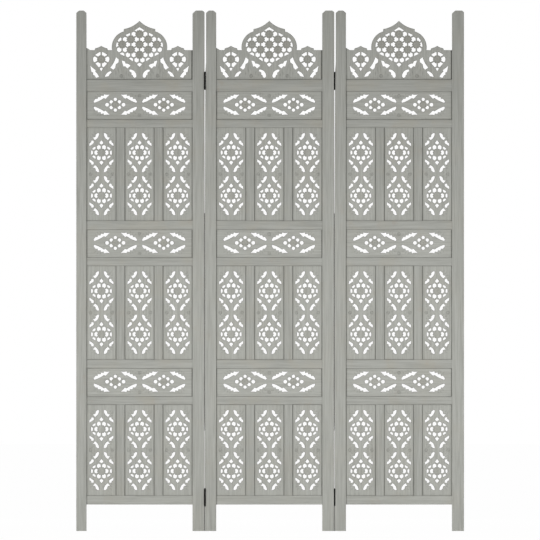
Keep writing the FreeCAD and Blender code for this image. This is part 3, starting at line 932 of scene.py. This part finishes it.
def chip_carve(board, stroke, strokes, flower, flowers, groove_grime_and_shade):
    """Cuts strokes and round flowers into both faces of a board and marks the cuts for dust and painted
    shade.
    """
    chips = []
    for face in FACES:
        depth = board_face(board, face) + face * CUTTER_LIFT * MM
        inward = turned(face, False)
        for (x0, z0), (x1, z1) in strokes:
            chip = add_object("chip", stroke.data.copy())
            scale = (hypot(x1 - x0, z1 - z0) / 2, sizes().stroke_width / 2, sizes().stroke_depth, 1.0)
            lean = Matrix.Rotation(-atan2(z1 - z0, x1 - x0), 4, "Y")
            place = Matrix.Translation(((x0 + x1) / 2, depth, (z0 + z1) / 2))
            chip.data.transform(place @ lean @ inward @ Matrix.Diagonal(scale))
            chips.append(chip)
        for x, z in flowers:
            chip = add_object("chip", flower.data.copy())
            size = sizes().flower_radius
            place = Matrix.Translation((x, depth, z))
            chip.data.transform(place @ inward @ Matrix.Diagonal((size, size, size, 1.0)))
            chips.append(chip)
    cutter = join(chips[0], chips[1:])
    for carved in (board, cutter):
        carved.data.materials.append(None)
        carved.data.materials.append(None)
    for face in cutter.data.polygons:
        face.material_index = 1
    make_active(board)
    cut = board.modifiers.new("Chips", "BOOLEAN")
    cut.operation = "DIFFERENCE"
    cut.solver = "EXACT"
    cut.object = cutter
    bpy.ops.object.modifier_apply(modifier=cut.name)
    throw_away(cutter)
    # The cut faces get the groove mark: part dust, part painted shade
    groove = board.data.attributes.new("groove", "FLOAT", "CORNER")
    for face in board.data.polygons:
        if face.material_index == 1:
            for corner in face.loop_indices:
                groove.data[corner].value = groove_grime_and_shade
    board.data.materials.clear()


def break_frets(board):
    """Breaks the edges of every opening on both faces and darkens a ring beside them with dust and painted
    shade.
    """
    mesh = edit(board, "FACE")
    pick(board, mesh.faces, lambda f: abs(f.normal.y) > FACE_TURN)
    bpy.ops.mesh.inset(thickness=sizes().fret_chamfer, use_even_offset=False)
    bpy.ops.mesh.inset(thickness=sizes().fret_halo, use_even_offset=False)
    bpy.ops.mesh.select_all(action="DESELECT")
    bpy.ops.mesh.select_mode(type="VERT")
    mesh = bmesh.from_edit_mesh(board.data)
    # The walls of each opening and the ring beside them are painted dark: part dust, part painted shade
    layer = mesh.verts.layers.float.new("rim")
    walls = set()
    for face in mesh.faces:
        if abs(face.normal.y) < WALL_TURN:
            walls.update(face.verts)
    broken = set(walls)
    for vert in walls:
        broken.update(edge.other_vert(vert) for edge in vert.link_edges)
    for vert in broken:
        vert[layer] = 1.0
    for face in FACES:
        pick(board, mesh.verts, lambda v: v in walls and v.co.y * face > 0)
        bpy.ops.transform.translate(value=(0, -face * sizes().fret_chamfer, 0))
        mesh = bmesh.from_edit_mesh(board.data)
    leave_edit()


def carve_board(board, strokes, flowers, groove_grime_and_shade, rosettes, rosette_size, stain):
    """Breaks the edges of a board and carves its strokes, round flowers and rosettes."""
    break_frets(board)
    stroke, flower, rosette = stroke_model(), flower_model(), rosette_model()
    chip_carve(board, stroke, strokes, flower, flowers, groove_grime_and_shade)
    add_rosettes(board, rosette, rosettes, rosette_size * MM, stain)
    for spent in (stroke, flower, rosette):
        throw_away(spent)


# Pieces


class DIVIDER_OT_posts(bpy.types.Operator):
    """Dresses the six posts with rounded edges and sloped tops, and with painted shadow where two of them
    meet
    """

    bl_idname = "divider.posts"
    bl_label = "Posts"

    def execute(self, context):
        finish = limewashed_wood("Post wood", UPRIGHT, POST_PALENESS)
        free = (("left_wing", "left"), ("right_wing", "right"))
        for wing in WINGS:
            for side in ("left", "right"):
                node = f"{wing}_{side}_post"
                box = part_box(node)
                low, high = box
                piece = take_up(node, f"{node}_worn")

                def is_outer(edge):
                    upright = on_face(edge, box) and run_along(edge, 2) > POST_EDGE * MM
                    return is_sharp(edge) and (upright or middle_of(edge).z > high.z - POST_TOP * MM)

                round_edges(piece, is_outer, sizes().frame_edge, EDGE_STEPS)
                if (wing, side) not in free:
                    seam = high.x if side == "right" else low.x
                    cut_across(piece, sorted(MIDDLE_SEAM + CLOSED_SEAM))
                    if side == "left":
                        close_seam(piece, seam)
                    # Painted shadow on the post where the seam closes
                    shade_seam(piece, seam)
                lay_place_map(piece, (low.x, high.x), [(low.z, high.z)])
                soften(piece, FRAME_SMOOTHING)
                settle(piece, wing, "frame_wood", finish, node)
        return {"FINISHED"}


class DIVIDER_OT_rails(bpy.types.Operator):
    """Dresses the seven rails of each wing"""

    bl_idname = "divider.rails"
    bl_label = "Rails"

    def execute(self, context):
        rails = ["crest_rail"]
        for tier in TIERS:
            rails += [f"{tier}_band_rail", f"{tier}_sill_rail"]
        dust_and_shade = ((length(opening(MIDDLE_WING)), FAR_OFF), RAIL_REACH, RAIL_BORDER)
        finish = limewashed_wood("Rail wood", LEVEL, RAIL_PALENESS, *dust_and_shade, RAIL_WARMTH)
        lowest = limewashed_wood("Lowest rail wood", LEVEL, LOWEST_RAIL_PALENESS, *dust_and_shade)
        for wing in WINGS:
            for rail in rails:
                node = f"{wing}_{rail}"
                low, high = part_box(node)
                piece = take_up(node, f"{node}_worn")
                round_edges(piece, long_on_face(node, 0), sizes().frame_edge, EDGE_STEPS)
                lay_place_map(piece, opening(wing), [(low.z - FAR_OFF, high.z + FAR_OFF)])
                soften(piece, FRAME_SMOOTHING)
                settle(piece, wing, "frame_wood", lowest if rail == "lower_sill_rail" else finish, node)
        return {"FINISHED"}


class DIVIDER_OT_mullions(bpy.types.Operator):
    """Dresses the six mullions of each wing"""

    bl_idname = "divider.mullions"
    bl_label = "Mullions"

    def execute(self, context):
        seen = (FAR_OFF, length(panel_span(MIDDLE_WING, "middle")))
        dust_and_shade = (seen, MULLION_REACH, MULLION_BORDER)
        finish = limewashed_wood("Mullion wood", UPRIGHT, MULLION_PALENESS, *dust_and_shade, MULLION_WARMTH)
        for wing in WINGS:
            node = f"{wing}_mullions"
            low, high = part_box(node)
            piece = take_up(node, f"{node}_worn")
            round_edges(piece, long_on_face(node, 2), sizes().frame_edge, EDGE_STEPS)
            spans = [panel_span(wing, tier) for tier in TIERS]
            lay_place_map(piece, (low.x - FAR_OFF, high.x + FAR_OFF), spans)
            soften(piece, FRAME_SMOOTHING)
            settle(piece, wing, "frame_wood", finish, node)
        return {"FINISHED"}


class DIVIDER_OT_panels(bpy.types.Operator):
    """Carves one upright panel for each row of openings and sets nine copies of it there"""

    bl_idname = "divider.panels"
    bl_label = "Panels"

    def carve(self, tier, seen_width):
        """The middle panel of a row, carved on both faces."""
        source = f"{MIDDLE_WING}_{tier}_panels"
        model = take_up(source, "panel_model")
        x = middle_x(source)
        span = panel_span(MIDDLE_WING, tier)
        z = middle(span)
        keep_middle(model, x, PANEL_SHARE * seen_width)
        rise = (length(span) / 2 - PANEL_END_MARGIN * MM) / 2
        centres = [(x, z + way * rise) for way in (1, -1)]
        strokes = stroke_places(MEDALLION_STROKES, centres, True)
        flowers = [(x + way * PANEL_FLOWER_RUN * MM, z) for way in (1, -1)]
        carve_board(model, strokes, flowers, MEDALLION_GRIME_AND_SHADE, centres, MEDALLION_ROSETTE, MEDALLION_STAIN)
        lay_place_map(model, (x - seen_width / 2, x + seen_width / 2), [span])
        soften(model, BOARD_SMOOTHING)
        return model

    def execute(self, context):
        left, right = opening(MIDDLE_WING)
        seen_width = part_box(f"{MIDDLE_WING}_mullions")[0].x - left
        pitch = (right - left - seen_width) / 2
        seen = (seen_width, length(panel_span(MIDDLE_WING, "middle")))
        for tier in TIERS:
            name = f"{tier.capitalize()} panel wood"
            finish = limewashed_wood(name, UPRIGHT, BOARD_PALENESS, seen, PANEL_REACH, PANEL_BORDERS[tier])
            model = self.carve(tier, seen_width)
            for wing in WINGS:
                node = f"{wing}_{tier}_panels"
                run = wing_run(wing)
                copies = [copy_of(model, f"{node}_carved", run + k * pitch) for k in (0, -1, 1)]
                piece = join(copies[0], copies[1:])
                settle(piece, wing, "fretted_board", finish, node)
            throw_away(model)
        return {"FINISHED"}


class DIVIDER_OT_bands(bpy.types.Operator):
    """Carves one level band and sets a copy over each row of panels"""

    bl_idname = "divider.bands"
    bl_label = "Bands"

    def execute(self, context):
        across = opening(MIDDLE_WING)
        span = band_span(MIDDLE_WING, "middle")
        seen = (length(across), length(span))
        finish = limewashed_wood("Band wood", LEVEL, BOARD_PALENESS, seen, BAND_REACH, BAND_BORDER)
        model = take_up(f"{MIDDLE_WING}_middle_band", "band_model")
        x, z = middle(across), middle(span)
        centres = [(x + way * LOZENGE_RUN * MM, z + LOZENGE_LIFT * MM) for way in (1, -1)]
        strokes = stroke_places(BAND_STROKES, centres, True)
        flowers = [(x, z + way * BAND_FLOWER_RISE * MM) for way in (1, -1)]
        carve_board(model, strokes, flowers, BAND_GRIME_AND_SHADE, centres, BAND_ROSETTE, BAND_STAIN)
        lay_place_map(model, across, [span])
        soften(model, BOARD_SMOOTHING)
        for wing in WINGS:
            for tier in TIERS:
                node = f"{wing}_{tier}_band"
                rise = middle(band_span(wing, tier)) - z
                piece = copy_of(model, f"{node}_carved", wing_run(wing), rise)
                settle(piece, wing, "fretted_board", finish, node)
        throw_away(model)
        return {"FINISHED"}


class DIVIDER_OT_crests(bpy.types.Operator):
    """Carves one domed crest and sets a copy on each wing"""

    bl_idname = "divider.crests"
    bl_label = "Crests"

    def execute(self, context):
        across = opening(MIDDLE_WING)
        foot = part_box(f"{MIDDLE_WING}_crest_rail")[1].z
        span = (foot, foot + FAR_OFF)
        seen = (length(across), length(span))
        finish = limewashed_wood("Crest wood", UPRIGHT, BOARD_PALENESS, seen, CREST_REACH, CREST_BORDER)
        model = take_up(f"{MIDDLE_WING}_crest_board", "crest_model")
        x = middle(across)
        strokes = stroke_places(CREST_STROKES, [(x, foot)], False)
        flowers = [(x + side * MM, foot + up * MM) for side, up in mirrored(CREST_FLOWERS)]
        rosettes = [(x + side * MM, foot + up * MM) for side, up in mirrored(CREST_ROSETTES)]
        carve_board(model, strokes, flowers, CREST_GRIME_AND_SHADE, rosettes, CREST_ROSETTE, CREST_STAIN)
        lay_place_map(model, across, [span])
        soften(model, BOARD_SMOOTHING)
        for wing in WINGS:
            node = f"{wing}_crest_board"
            piece = copy_of(model, f"{node}_carved", wing_run(wing))
            settle(piece, wing, "fretted_board", finish, node)
        throw_away(model)
        return {"FINISHED"}


class DIVIDER_OT_hinges(bpy.types.Operator):
    """Rounds the hinge leaves and blackens leaves, pins and screws"""

    bl_idname = "divider.hinges"
    bl_label = "Hinges"

    def execute(self, context):
        finish = black_iron()
        leaves = {
            "left_wing_hinge_leaves": "left_wing",
            "centre_wing_front_hinge_leaves": "centre_wing",
            "centre_wing_back_hinge_leaves": "centre_wing",
            "right_wing_hinge_leaves": "right_wing",
        }

        def is_square(edge):
            return edge.calc_face_angle(0.0) > radians(HINGE_ANGLE)

        for node, wing in leaves.items():
            piece = take_up(node, f"{node}_black")
            round_edges(piece, is_square, sizes().hinge_edge, HINGE_STEPS)
            soften(piece, FRAME_SMOOTHING)
            settle(piece, wing, "black_iron", finish, node)
        for node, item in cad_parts.items():
            if node.endswith(("hinge_pins", "hinge_screws")):
                item.data.materials.clear()
                item.data.materials.append(finish)
        return {"FINISHED"}


def white_to_the_camera(tree):
    """One for rays from the camera, off gloss and through glass, and nought for the rest."""
    rays = put(tree, "ShaderNodeLightPath").outputs
    seen = calc(tree, "MAXIMUM", rays["Is Camera Ray"], rays["Is Glossy Ray"])
    return calc(tree, "MAXIMUM", seen, rays["Is Transmission Ray"])


class DIVIDER_OT_stage(bpy.types.Operator):
    """Sets the pale floor, the soft light and the camera"""

    bl_idname = "divider.stage"
    bl_label = "Stage"

    def lay_floor(self):
        deselect()
        bpy.ops.mesh.primitive_plane_add(size=FLOOR_SIZE, location=(0, 0, 0))
        floor = bpy.context.object
        floor.name = "pale_floor"
        material, tree, shader = blank_material("Pale floor")
        shader.inputs["Base Color"].default_value = FLOOR_GREY
        shader.inputs["Roughness"].default_value = 1.0
        shader.inputs["Specular IOR Level"].default_value = 0.0
        glow = put(tree, "ShaderNodeEmission", {"Color": WHITE, "Strength": 1.0})
        share = calc(tree, "MULTIPLY", white_to_the_camera(tree), FLOOR_WHITE)
        mix = put(tree, "ShaderNodeMixShader", {0: share, 1: shader.outputs[0], 2: glow.outputs[0]})
        tree.links.new(mix.outputs[0], tree.nodes["Material Output"].inputs["Surface"])
        floor.data.materials.append(material)

    def light_world(self, strength):
        world = bpy.data.worlds.new("Soft studio")
        world.use_nodes = True
        tree = world.node_tree
        back = tree.nodes["Background"]
        back.inputs["Color"].default_value = WHITE
        span = calc(tree, "MULTIPLY", white_to_the_camera(tree), 1.0 - strength)
        tree.links.new(calc(tree, "ADD", span, strength), back.inputs["Strength"])
        bpy.context.scene.world = world

    def hang_light(self, name, power, place, aim, size, spread):
        lamp = bpy.data.lights.new(name, "AREA")
        lamp.shape = "RECTANGLE"
        lamp.size, lamp.size_y = size
        lamp.energy = power
        lamp.spread = radians(spread)
        item = add_object(name, lamp)
        item.location = place
        item.rotation_euler = (Vector(aim) - Vector(place)).to_track_quat("-Z", "Y").to_euler()
        item.visible_camera = False

    def execute(self, context):
        stage = context.scene.divider_stage
        self.lay_floor()
        self.light_world(stage.sky)
        self.hang_light("Front light", stage.key_power, *FRONT_LIGHT)
        self.hang_light("Back light", stage.fill_power, *BACK_LIGHT)
        camera = bpy.data.cameras.new("Camera")
        camera.sensor_width = SENSOR_WIDTH
        camera.lens = camera.sensor_width * stage.camera_distance / stage.picture_width
        item = add_object("Camera", camera)
        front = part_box(f"{MIDDLE_WING}_left_post")[0].y
        item.location = (stage.camera_side, front - stage.camera_distance, stage.camera_height)
        item.rotation_euler = (radians(90), 0, 0)
        context.scene.camera = item
        context.scene.view_settings.view_transform = "Standard"
        return {"FINISHED"}


OPERATORS = (
    DIVIDER_OT_posts,
    DIVIDER_OT_rails,
    DIVIDER_OT_mullions,
    DIVIDER_OT_panels,
    DIVIDER_OT_bands,
    DIVIDER_OT_crests,
    DIVIDER_OT_hinges,
    DIVIDER_OT_stage,
)


class DIVIDER_PT_sidebar(bpy.types.Panel):
    """Lists the pieces of the divider with their sizes and colours"""

    bl_label = "Room divider"
    bl_idname = "DIVIDER_PT_sidebar"
    bl_space_type = "VIEW_3D"
    bl_region_type = "UI"
    bl_category = "Divider"

    def draw(self, context):
        for owner in PROPERTIES:
            group = getattr(context.scene, owner)
            box = self.layout.box()
            for key in group.bl_rna.properties.keys():
                if key not in ("rna_type", "name"):
                    box.prop(group, key)
        for operator in OPERATORS:
            self.layout.operator(operator.bl_idname)


PROPERTIES = {
    "divider_sizes": DividerSizes,
    "divider_colours": DividerColours,
    "divider_stage": DividerStage,
}


def register():
    for kind in (*PROPERTIES.values(), *OPERATORS, DIVIDER_PT_sidebar):
        bpy.utils.register_class(kind)
    for name, kind in PROPERTIES.items():
        setattr(bpy.types.Scene, name, bpy.props.PointerProperty(type=kind))


def unregister():
    for name in PROPERTIES:
        delattr(bpy.types.Scene, name)
    for kind in reversed((*PROPERTIES.values(), *OPERATORS, DIVIDER_PT_sidebar)):
        bpy.utils.unregister_class(kind)


def main():
    register()
    bpy.ops.divider.posts()
    bpy.ops.divider.rails()
    bpy.ops.divider.mullions()
    bpy.ops.divider.panels()
    bpy.ops.divider.bands()
    bpy.ops.divider.crests()
    bpy.ops.divider.hinges()
    bpy.ops.divider.stage()


if __name__ == "__main__":
    main()
